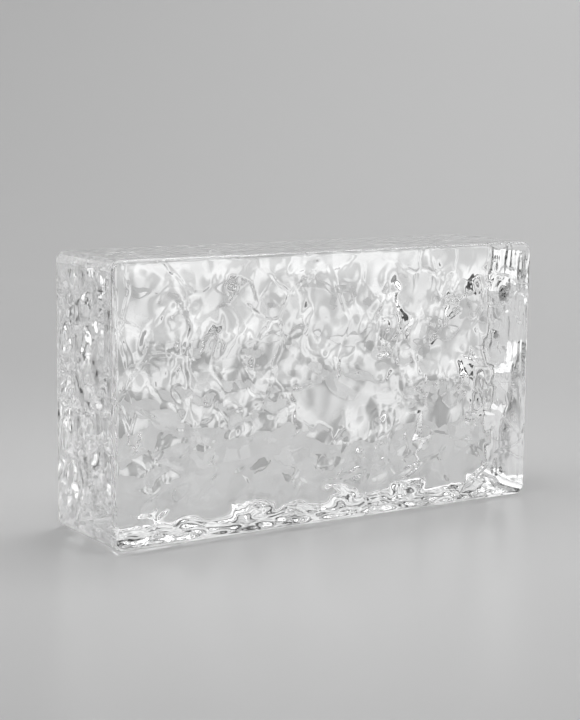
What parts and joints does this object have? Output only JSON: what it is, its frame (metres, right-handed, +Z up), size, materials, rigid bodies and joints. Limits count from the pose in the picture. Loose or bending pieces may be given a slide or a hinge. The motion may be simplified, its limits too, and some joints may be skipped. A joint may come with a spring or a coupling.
{
  "type": "solid glass block",
  "caption": "Solid cast clear-glass building block with rippled front and back faces, rounded edges and plain bed faces and ends for mortar or glue joints.",
  "frame": {"origin": "centre of the base, the long narrow side that the block stands on", "axes": "+X along the length, +Y through the thickness from the front face to the back face, +Z up"},
  "size_m": [0.2, 0.05, 0.11],
  "materials": {
    "clear_glass": "clear cast glass, fire-polished, with pressed ripples"
  },
  "bodies": {
    "root": {"glass_block": "clear_glass"}
  },
  "joints": []
}
